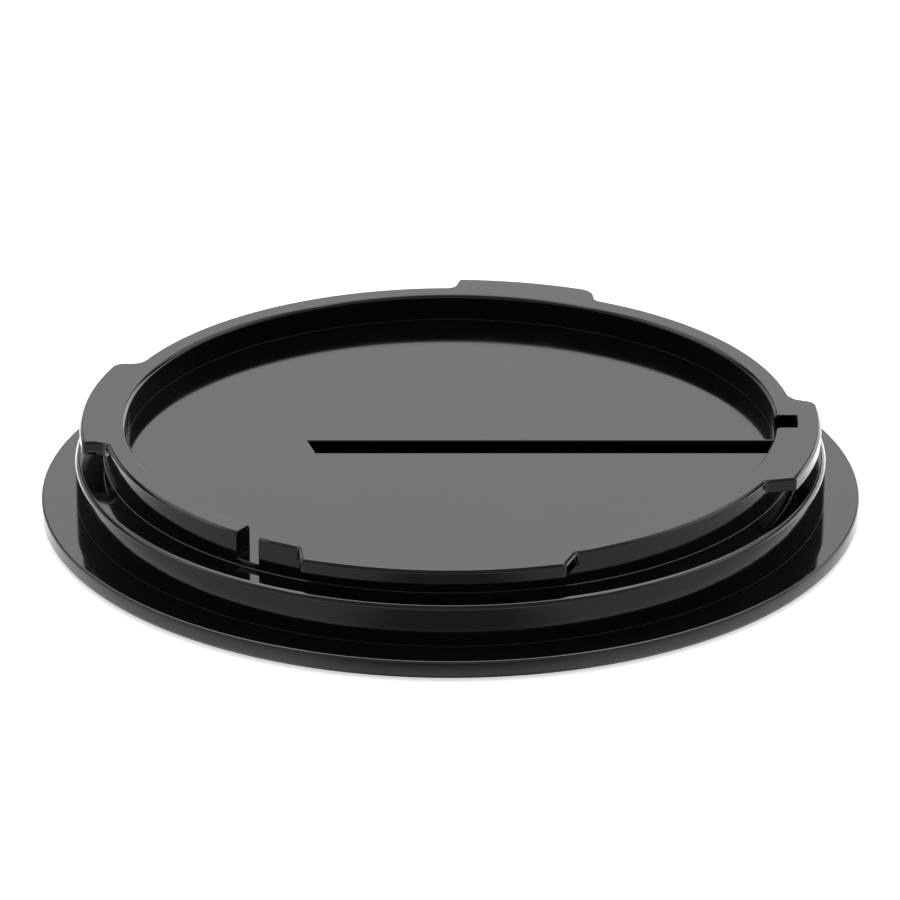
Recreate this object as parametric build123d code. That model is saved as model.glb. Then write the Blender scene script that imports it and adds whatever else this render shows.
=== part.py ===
from build123d import *
from collections import namedtuple
from math import degrees, radians, sqrt, tan
import os

# Camera body cap with a bayonet, moulded in one piece from gloss black plastic.
# It lies on its outer face, with the side that goes into the camera up.
# Sizes are in millimetres, and angles are in degrees from +X, turning towards +Y.
# Z is the axis of the mount, X runs along the grip, and the outer face lies at Z = 0.

# Spigot that centres the cap in the mount, with a shelf on top
spigot_radius = 38.45
spigot_height = 4.3
shelf_width = 2.95
shelf_chamfer = 0.36

# Flange that covers the camera's mount
flange_reach = 3.55
flange_thickness = 2.0
flange_chamfer = 0.5

# Floor inside the ring, a step above the shelf, and the walls around the recess behind it
floor_step = 0.65
wall_thickness = 1.8

# Ring that carries the bayonet lugs
ring_width = 2.3
ring_height = 2.85
ring_root = 0.3
ring_top_chamfer = 0.3

# Bayonet lugs, which reach out over the shelf
lug_reach = 2.42
lug_thickness = 1.45

# Each end of a lug starts at its foot on the ring and leans back by some way to its tip
LugEnd = namedtuple("LugEnd", "foot_angle lean foot_blend tip_blend")
Lug = namedtuple("Lug", "start end")
lugs = [
    Lug(start=LugEnd(63.9, 1.4, 1.0, 2.2), end=LugEnd(89.6, 0.6, 0.8, 0.5)),
    Lug(start=LugEnd(156.0, 1.0, 1.3, 1.6), end=LugEnd(190.5, 0.5, 1.4, 0.7)),
    Lug(start=LugEnd(245.2, 1.4, 0.4, 0.6), end=LugEnd(290.4, 2.1, 0.7, 0.9)),
    Lug(start=LugEnd(333.1, 1.85, 0.8, 0.5), end=LugEnd(368.2, 1.3, 1.6, 1.6)),
]

# Gap through the ring for the camera's locking pin
pin_gap_angle = 235.8
pin_gap_width = 2.65

# Grip on the outer face: a hollow fin, open at the floor as a long slot
slot_width = 3.28
slot_middle = -1.05
slot_start = -14.2
slot_slant = 16.0
slot_rim_round = 0.15
slot_mouth_round = 0.9
fin_wall = 1.6
fin_setback = 0.4
fin_round = 0.5

flange_radius = spigot_radius + flange_reach
recess_radius = spigot_radius - wall_thickness
ring_outer_radius = spigot_radius - shelf_width
ring_inner_radius = ring_outer_radius - ring_width
lug_radius = ring_outer_radius + lug_reach
shelf_height = flange_thickness + spigot_height
floor_height = shelf_height + floor_step
ring_top = floor_height + ring_height
slab_bottom = floor_height - wall_thickness
lug_bottom = ring_top - lug_thickness
slot_bottom = fin_setback + fin_wall


def polar(radius, angle):
    return Vector(radius, 0).rotate(Axis.Z, angle)


def arc(radius, start, end):
    return ThreePointArc(polar(radius, start), polar(radius, (start + end) / 2), polar(radius, end))


def blend(plan, point, radius):
    """Round the corner of a flat plan that lies nearest to a point."""
    return fillet(plan.vertices().sort_by_distance(point)[0], radius)


def raised(plan, bottom, top):
    """Solid that stands on a flat plan from one height to another."""
    return Pos(0, 0, bottom) * extrude(plan, top - bottom)


def turned_body():
    """Flange, spigot, shelf and floor, hollow below, turned about the mount axis."""
    slab_radius = ring_outer_radius - wall_thickness
    shelf_bottom = shelf_height - wall_thickness
    points = [
        (0, floor_height),
        (ring_outer_radius, floor_height),
        (ring_outer_radius, shelf_height),
        (spigot_radius - shelf_chamfer, shelf_height),
        (spigot_radius, shelf_height - shelf_chamfer),
        (spigot_radius, flange_thickness),
        (flange_radius, flange_thickness),
        (flange_radius, flange_chamfer),
        (flange_radius - flange_chamfer, 0),
        (recess_radius, 0),
        (recess_radius, shelf_bottom),
        (slab_radius, shelf_bottom),
        (slab_radius, slab_bottom),
        (0, slab_bottom),
    ]
    return revolve(Plane.XZ * make_face(Polyline(*points, close=True)), Axis.Z)


def lug_outline():
    """Outside of the ring at the height of the lugs: ring and lug arcs in turn."""
    edges = []
    corners = []
    ring_start = lugs[-1].end.foot_angle - 360
    for lug in lugs:
        tip_angles = [
            lug.start.foot_angle + degrees(lug.start.lean / lug_radius),
            lug.end.foot_angle - degrees(lug.end.lean / lug_radius),
        ]
        edges.append(arc(ring_outer_radius, ring_start, lug.start.foot_angle))
        edges.append(arc(lug_radius, *tip_angles))
        ring_start = lug.end.foot_angle
        for end, tip_angle in zip(lug, tip_angles):
            foot = polar(ring_outer_radius, end.foot_angle)
            tip = polar(lug_radius, tip_angle)
            edges.append(Line(foot, tip))
            corners += [(foot, end.foot_blend), (tip, end.tip_blend)]
    outline = make_face(edges)
    for point, radius in corners:
        outline = blend(outline, point, radius)
    return outline


def slot_plan(end_radius):
    """Long slot from its slanted closed end to a circle about the mount axis."""
    near = slot_middle - slot_width / 2
    far = slot_middle + slot_width / 2
    lean = slot_width / 2 * tan(radians(slot_slant))
    strip = make_face(
        Polyline(
            (slot_start + lean, near),
            (flange_radius, near),
            (flange_radius, far),
            (slot_start - lean, far),
            close=True,
        )
    )
    return strip & Circle(end_radius)


def ring_plan(outside):
    """An outline, less the space inside the ring, the end of the slot and the pin gap."""
    near = slot_middle - slot_width / 2
    mouth = (sqrt(ring_inner_radius**2 - near**2), near)
    inside = Circle(ring_inner_radius) + slot_plan(ring_outer_radius)
    inside = blend(inside, mouth, slot_mouth_round)
    gap = Rot(0, 0, pin_gap_angle) * Pos(lug_radius / 2, 0) * Rectangle(lug_radius, pin_gap_width)
    return outside - inside - gap


def bayonet():
    """Ring wall, let into the floor, with the lugs around its top."""
    outline = lug_outline()
    top = raised(outline - Circle(ring_inner_radius), lug_bottom, ring_top)
    top = chamfer(top.faces().sort_by(Axis.Z)[-1].edges(), ring_top_chamfer)
    top &= raised(ring_plan(outline), lug_bottom, ring_top)
    wall = raised(ring_plan(Circle(ring_outer_radius)), floor_height - ring_root, lug_bottom)
    return wall + top


def grip_fin():
    """Solid fin across the recess, before its slot is cut. It ends inside the spigot wall."""
    fin = raised(offset(slot_plan(flange_radius), fin_wall), fin_setback, slab_bottom)
    fin = fillet(fin.faces().sort_by(Axis.Z)[0].edges(), fin_round)
    return fin & Cylinder(spigot_radius - wall_thickness / 2, 2 * floor_height)


def cut_slot(cap):
    """Hollow the fin from the floor and round the edges of the slot."""
    cap -= raised(slot_plan(ring_outer_radius), slot_bottom, floor_height)
    floor = cap.faces().filter_by(Plane.XY).sort_by(Axis.Z)[-1]
    return fillet(floor.edges().filter_by(GeomType.LINE), slot_rim_round)


def body_cap():
    return cut_slot(turned_body() + grip_fin()) + bayonet()


cap = body_cap()
os.makedirs("parts", exist_ok=True)
export_step(cap, "parts/body_cap.step")
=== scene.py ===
import math

import bpy
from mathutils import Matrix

# Bayonet body cap in gloss black plastic, inner side up on a white table
# Metres throughout: Z is the axis of the mount, X runs along the slot

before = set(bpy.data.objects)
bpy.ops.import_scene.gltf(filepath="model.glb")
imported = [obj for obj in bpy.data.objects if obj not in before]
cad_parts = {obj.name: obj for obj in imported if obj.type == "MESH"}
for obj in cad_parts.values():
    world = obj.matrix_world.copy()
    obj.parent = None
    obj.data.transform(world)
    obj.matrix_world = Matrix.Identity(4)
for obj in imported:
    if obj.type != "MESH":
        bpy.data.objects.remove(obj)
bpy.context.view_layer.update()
print("frame loaded:", ", ".join(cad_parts))


class Sock:
    # One output socket of a node tree; sums on it add Math nodes
    def __init__(self, tree, socket=None):
        self.tree = tree
        self.socket = socket

    def new(self, kind, settings=None, sockets=None, outlet=0):
        node = self.tree.nodes.new(kind)
        for name, value in (settings or {}).items():
            setattr(node, name, value)
        for name, value in (sockets or {}).items():
            if isinstance(value, Sock):
                self.tree.links.new(value.socket, node.inputs[name])
            else:
                node.inputs[name].default_value = value
        return Sock(self.tree, node.outputs[outlet] if len(node.outputs) else None)

    def maths(self, operation, first, second):
        return self.new("ShaderNodeMath", {"operation": operation}, {0: first, 1: second})

    def __add__(self, other):
        return self.maths("ADD", self, other)

    def __sub__(self, other):
        return self.maths("SUBTRACT", self, other)

    def __rsub__(self, other):
        return self.maths("SUBTRACT", other, self)

    def __mul__(self, other):
        return self.maths("MULTIPLY", self, other)

    def __gt__(self, other):
        return self.maths("GREATER_THAN", self, other)

    def __abs__(self):
        return self.new("ShaderNodeMath", {"operation": "ABSOLUTE"}, {0: self})

    __radd__ = __add__
    __rmul__ = __mul__

    def between(self, low, high):
        # 0 below low, 1 above high, smooth in between
        return self.new(
            "ShaderNodeMapRange",
            {"interpolation_type": "SMOOTHSTEP"},
            {"Value": self, "From Min": low, "From Max": high},
        )

    def part(self, axis):
        # One coordinate of a vector
        return self.new("ShaderNodeSeparateXYZ", None, {0: self}, "XYZ".index(axis))

    def length(self):
        return self.new("ShaderNodeVectorMath", {"operation": "LENGTH"}, {0: self}, "Value")

    def mixed(self, first, second):
        # Goes from the first colour to the second, which a Mix node holds at 6 and 7
        return self.new("ShaderNodeMix", {"data_type": "RGBA"}, {0: self, 6: first, 7: second}, outlet=2)


def startMaterial(name):
    material = bpy.data.materials.new(name)
    material.use_nodes = True
    material.node_tree.nodes.clear()
    return material, Sock(material.node_tree)


# Camera where the photographer stood: a long lens, tilted down at the cap
photoCamera = {
    "place": (-0.00004, -0.593808, 0.264372),
    "pitchDown": 23.506,  # degrees
    "lens": 252.546,  # millimetres, as the sensor
    "sensor": 36.0,
    "nearClip": 0.01,
    "farClip": 50.0,
}


def addCamera(setup):
    data = bpy.data.cameras.new("photoCamera")
    data.lens = setup["lens"]
    data.sensor_width = setup["sensor"]
    data.clip_start = setup["nearClip"]
    data.clip_end = setup["farClip"]
    camera = bpy.data.objects.new("photoCamera", data)
    camera.location = setup["place"]
    camera.rotation_euler = (math.radians(90 - setup["pitchDown"]), 0, 0)
    bpy.context.scene.collection.objects.link(camera)
    bpy.context.scene.camera = camera


addCamera(photoCamera)
print("camera in place")


# Studio that shows in the plastic: a panel straight behind the cap, in a tent with a dark band
# at the camera's height. A tone fades in or out between two edges, which are coordinates of
# the direction it comes from, with a length of 1
whiteRoom = {
    "white": 1.0,  # what the camera sees above the table
    "band": 0.06,
    "skirt": 0.55,  # below the band
    "skirtEdges": (0.28, 0.35),
    "card": 0.9,  # added to the skirt, behind on the right
    "cardEdges": (0.2, 0.36),
    "tent": 0.9,  # above the band
    "tentEdges": (0.42, 0.52),
    "crown": 0.75,  # taken off the tent in front
    "crownEdges": (0.42, 0.62),
    "crownFront": (-0.3, 0.15),
    "panel": 0.9,
    "panelSides": (0.12, 0.27),
    "panelEdges": (0.0, 0.3),
    "upper": 0.25,  # added to the panel high up
    "upperEdges": (0.36, 0.5),
}


def addWorld(setup):
    world = bpy.data.worlds.new("whiteRoom")
    world.use_nodes = True
    world.node_tree.nodes.clear()
    bpy.context.scene.world = world
    sky = Sock(world.node_tree)
    direction = sky.new("ShaderNodeTexCoord", outlet="Generated")
    side = direction.part("X")
    depth = direction.part("Y")
    height = direction.part("Z")
    card = side.between(*setup["cardEdges"]) * depth.between(*setup["cardEdges"])
    low = 1 - height.between(*setup["skirtEdges"])
    front = 1 - depth.between(*setup["crownFront"])
    room = low * (card * setup["card"] + setup["skirt"]) + setup["band"]
    room = room + height.between(*setup["tentEdges"]) * setup["tent"]
    room = room - height.between(*setup["crownEdges"]) * front * setup["crown"]
    panel = height.between(*setup["upperEdges"]) * setup["upper"] + setup["panel"]
    behind = depth.between(*setup["panelEdges"]) * (1 - abs(side).between(*setup["panelSides"]))
    tone = behind * (panel - room) + room
    seen = sky.new("ShaderNodeLightPath", outlet="Is Camera Ray")
    glow = sky.new("ShaderNodeBackground", None, {"Color": seen * setup["white"] + (1 - seen) * tone})
    sky.new("ShaderNodeOutputWorld", None, {"Surface": glow})


# Table: white to the eye; in the plastic it shows a painted reflection, dim in front as painted shade,
# grey beside and bright behind as painted light, with a painted ring of light around the flange
whiteTable = {
    "halfSize": 3.0,
    "drop": 0.00003,  # below the cap, so that no two faces share a plane
    "shade": 0.8,
    "lift": 0.6,  # keeps the white white, with a faint shadow beside the cap
    # Levels of the painted reflection: dim in front as painted shade, grey beside, bright behind as
    # painted light
    "front": 0.14,
    "side": 0.27,
    "sideEdges": (0.006, 0.021),
    "behind": 1.8,
    "behindEdges": (-0.016, 0.026),
    "paintedRimLight": 0.55,  # painted ring of light between these two, outside the flange, with painted shade under it
    "rimInnerEdges": (0.0418, 0.0424),
    "rimOuterEdges": (0.0424, 0.0474),
}


def whiteTableWithPaintedReflection(setup):
    material, tree = startMaterial("tableWhite")
    shade = setup["shade"]
    matte = tree.new("ShaderNodeBsdfDiffuse", None, {"Color": (shade, shade, shade, 1)})
    lift = tree.new("ShaderNodeEmission", None, {"Strength": setup["lift"]})
    shown = tree.new("ShaderNodeAddShader", None, {0: matte, 1: lift})
    place = tree.new("ShaderNodeTexCoord", outlet="Object")
    away = place.length()
    # Painted ring of light around the flange, zero under the flange as painted shade
    ring = away.between(*setup["rimInnerEdges"]) * (1 - away.between(*setup["rimOuterEdges"]))
    # Painted reflection: an emission toned by place, dim in front (painted shade), grey beside, bright
    # behind (painted light)
    tone = abs(place.part("X")).between(*setup["sideEdges"]) * setup["side"] + setup["front"]
    tone = tone + place.part("Y").between(*setup["behindEdges"]) * setup["behind"]
    # Emission seen only by rays that are not camera rays: the painted reflection plus the painted ring
    # of light
    paintedReflection = tree.new("ShaderNodeEmission", None, {"Color": tone + ring * setup["paintedRimLight"]})
    seen = tree.new("ShaderNodeLightPath", outlet="Is Camera Ray")
    skin = tree.new("ShaderNodeMixShader", None, {0: seen, 1: paintedReflection, 2: shown})
    tree.new("ShaderNodeOutputMaterial", None, {"Surface": skin})
    return material


def addTable(setup):
    half = setup["halfSize"]
    drop = -setup["drop"]
    mesh = bpy.data.meshes.new("table")
    corners = [(-half, -half, drop), (half, -half, drop), (half, half, drop), (-half, half, drop)]
    mesh.from_pydata(corners, [], [(0, 1, 2, 3)])
    mesh.materials.append(whiteTableWithPaintedReflection(setup))
    table = bpy.data.objects.new("table", mesh)
    bpy.context.scene.collection.objects.link(table)


# Soft box above the cap, turned towards it
overheadBox = {"place": (0.0, 0.12, 0.6), "size": (0.8, 0.6), "power": 2.6}


def addSoftBox(name, setup):
    data = bpy.data.lights.new(name, "AREA")
    data.shape = "RECTANGLE"
    data.size, data.size_y = setup["size"]
    data.energy = setup["power"]
    lamp = bpy.data.objects.new(name, data)
    lamp.location = setup["place"]
    toCap = -lamp.location
    lamp.rotation_euler = toCap.to_track_quat("-Z", "Y").to_euler()
    bpy.context.scene.collection.objects.link(lamp)


addWorld(whiteRoom)
addTable(whiteTable)
addSoftBox("overheadBox", overheadBox)
print("studio lit")


# Gloss black plastic: mirror flats with a faint haze, walls with fine draw marks from the mould
glossBlack = {
    "clearColour": (0.0012, 0.0012, 0.0013, 1),
    "hazyColour": (0.0022, 0.0022, 0.0022, 1),
    "ior": 1.56,
    "coat": 0.4,
    "coatRoughness": 0.02,
    "polish": 0.085,  # roughness outside the haze
    "haze": 0.035,  # added to it inside
    "hazeScale": 55.0,
    "hazeDetail": 3.0,
    "hazeBreakup": 0.55,
    "hazeEdges": (0.48, 0.74),
    "waveScale": 85.0,
    "waveDetail": 1.0,
    "waveDepth": 0.00001,
    "drawScale": 2600.0,
    "drawStretch": (0.02, 0.02, 1.0),  # long marks around the walls, close together in height
    "drawDetail": 2.0,
    "drawDepth": 0.000002,
    "uprightEdges": (0.01, 0.16),  # squares of the normal's rise, from a wall to a slope
}


def glossBlackPlastic(finish):
    material, tree = startMaterial("glossBlackPlastic")
    place = tree.new("ShaderNodeTexCoord", outlet="Object")
    rise = tree.new("ShaderNodeTexCoord", outlet="Normal").part("Z")
    upright = 1 - (rise * rise).between(*finish["uprightEdges"])

    cloud = tree.new(
        "ShaderNodeTexNoise", None,
        {
            "Vector": place,
            "Scale": finish["hazeScale"],
            "Detail": finish["hazeDetail"],
            "Roughness": finish["hazeBreakup"],
        },
    )
    haze = cloud.between(*finish["hazeEdges"])
    waves = tree.new(
        "ShaderNodeTexNoise", None,
        {"Vector": place, "Scale": finish["waveScale"], "Detail": finish["waveDetail"]},
    )
    stretched = tree.new("ShaderNodeMapping", None, {"Vector": place, "Scale": finish["drawStretch"]})
    drawn = tree.new(
        "ShaderNodeTexNoise", None,
        {"Vector": stretched, "Scale": finish["drawScale"], "Detail": finish["drawDetail"]},
    )
    rippled = tree.new("ShaderNodeBump", None, {"Height": waves, "Distance": finish["waveDepth"]})
    marked = tree.new(
        "ShaderNodeBump", None,
        {"Height": drawn * upright, "Distance": finish["drawDepth"], "Normal": rippled},
    )
    plastic = tree.new(
        "ShaderNodeBsdfPrincipled", None,
        {
            "Base Color": haze.mixed(finish["clearColour"], finish["hazyColour"]),
            "Roughness": haze * finish["haze"] + finish["polish"],
            "IOR": finish["ior"],
            "Coat Weight": finish["coat"],
            "Coat Roughness": finish["coatRoughness"],
            "Normal": marked,
        },
    )
    tree.new("ShaderNodeOutputMaterial", None, {"Surface": plastic})
    return material


# Cap: the mould leaves every edge eased, most of all the flange's rim and the shelf's edge
# Angles are in radians, and shares are parts of the widest ease
capBody = {
    "mergeWithin": 0.000001,
    "widestEase": 0.0003,
    "easeSteps": 3,
    "easedEdges": {
        "creaseAngle": 0.5,
        "cornerAngle": 1.1,
        "chamferShare": 0.6,
        "topShare": 0.25,  # around the ring's top, above the top height
        "topHeight": 0.0094,
        "cornerShare": 0.3,
        "rimShare": 0.8,  # outside the rim radius
        "rimRadius": 0.0419,
        "rootShare": 0.04,  # inner corners
        "ringFootShare": 0.25,  # inner corners further out and higher than these two
        "ringFootRadius": 0.035,
        "ringFootHeight": 0.004,
    },
    "sharpEdges": {"sharpAngle": 0.72},
    "levelFaces": {"levelRise": 0.9999},
}


def addNodes(cap, name, values, build):
    # Geometry Nodes modifier with one named number for each value
    tree = bpy.data.node_groups.new(name, "GeometryNodeTree")
    tree.interface.new_socket("Mesh", in_out="INPUT", socket_type="NodeSocketGeometry")
    tree.interface.new_socket("Mesh", in_out="OUTPUT", socket_type="NodeSocketGeometry")
    identifiers = {}
    for label in values:
        item = tree.interface.new_socket(label, in_out="INPUT", socket_type="NodeSocketFloat")
        identifiers[label] = item.identifier
    start = Sock(tree).new("NodeGroupInput")
    given = {item.name: Sock(tree, item) for item in start.socket.node.outputs if item.name}
    start.new("NodeGroupOutput", None, {"Mesh": build(start, given)})
    modifier = cap.modifiers.new(name, "NODES")
    modifier.node_group = tree
    for label, identifier in identifiers.items():
        modifier[identifier] = values[label]


def easedEdges(tree, given):
    # Gives each edge its share of the widest ease, by its angle and its place
    turn = tree.new("GeometryNodeInputMeshEdgeAngle", outlet="Signed Angle")
    place = tree.new("GeometryNodeInputPosition")
    height = place.part("Z")
    # Distance from the axis, as the height is taken out
    flat = tree.new("ShaderNodeVectorMath", {"operation": "MULTIPLY"}, {0: place, 1: (1, 1, 0)})
    away = flat.length()
    corner = turn > given["cornerAngle"]
    rim = corner * (away > given["rimRadius"])
    chamfer = (turn > given["creaseAngle"]) - corner
    top = chamfer * (height > given["topHeight"])
    root = (0 - turn) > given["creaseAngle"]
    foot = root * (away > given["ringFootRadius"]) * (height > given["ringFootHeight"])
    share = (chamfer - top) * given["chamferShare"] + top * given["topShare"]
    share = share + (corner - rim) * given["cornerShare"] + rim * given["rimShare"]
    share = share + (root - foot) * given["rootShare"] + foot * given["ringFootShare"]
    smooth = tree.new("GeometryNodeSetShadeSmooth", None, {"Geometry": given["Mesh"]})
    return tree.new(
        "GeometryNodeStoreNamedAttribute",
        {"data_type": "FLOAT", "domain": "EDGE"},
        {"Geometry": smooth, "Name": "bevel_weight_edge", "Value": share},
    )


def sharpEdges(tree, given):
    # Breaks the shading at each edge that is still steep once the others are eased
    turn = tree.new("GeometryNodeInputMeshEdgeAngle", outlet="Unsigned Angle")
    return tree.new(
        "GeometryNodeSetShadeSmooth",
        {"domain": "EDGE"},
        {"Geometry": given["Mesh"], "Selection": turn > given["sharpAngle"], "Shade Smooth": False},
    )


def levelFaces(tree, given):
    # Gives level faces their own normal, so that they mirror as one clean plane
    own = tree.new("GeometryNodeInputNormal", outlet="True Normal")
    faceNormal = tree.new(
        "GeometryNodeFieldOnDomain", {"data_type": "FLOAT_VECTOR", "domain": "FACE"}, {"Value": own}
    )
    chosen = tree.new(
        "GeometryNodeSwitch",
        {"input_type": "VECTOR"},
        {
            "Switch": abs(faceNormal.part("Z")) > given["levelRise"],
            "False": tree.new("GeometryNodeInputNormal"),
            "True": faceNormal,
        },
    )
    return tree.new(
        "GeometryNodeSetMeshNormal",
        {"mode": "FREE", "domain": "CORNER"},
        {"Mesh": given["Mesh"], "Custom Normal": chosen},
    )


def finishCap(cap, setup, material):
    cap.data.materials.clear()
    cap.data.materials.append(material)
    merge = cap.modifiers.new("merge", "WELD")
    merge.merge_threshold = setup["mergeWithin"]
    addNodes(cap, "easedEdges", setup["easedEdges"], easedEdges)
    ease = cap.modifiers.new("ease", "BEVEL")
    ease.width = setup["widestEase"]
    ease.segments = setup["easeSteps"]
    ease.limit_method = "WEIGHT"
    ease.use_clamp_overlap = False
    ease.loop_slide = False
    addNodes(cap, "sharpEdges", setup["sharpEdges"], sharpEdges)
    even = cap.modifiers.new("evenNormals", "WEIGHTED_NORMAL")
    even.keep_sharp = True
    addNodes(cap, "levelFaces", setup["levelFaces"], levelFaces)


finishCap(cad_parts["body_cap"], capBody, glossBlackPlastic(glossBlack))
print("cap finished in gloss black")

bpy.context.scene.view_settings.view_transform = "Standard"
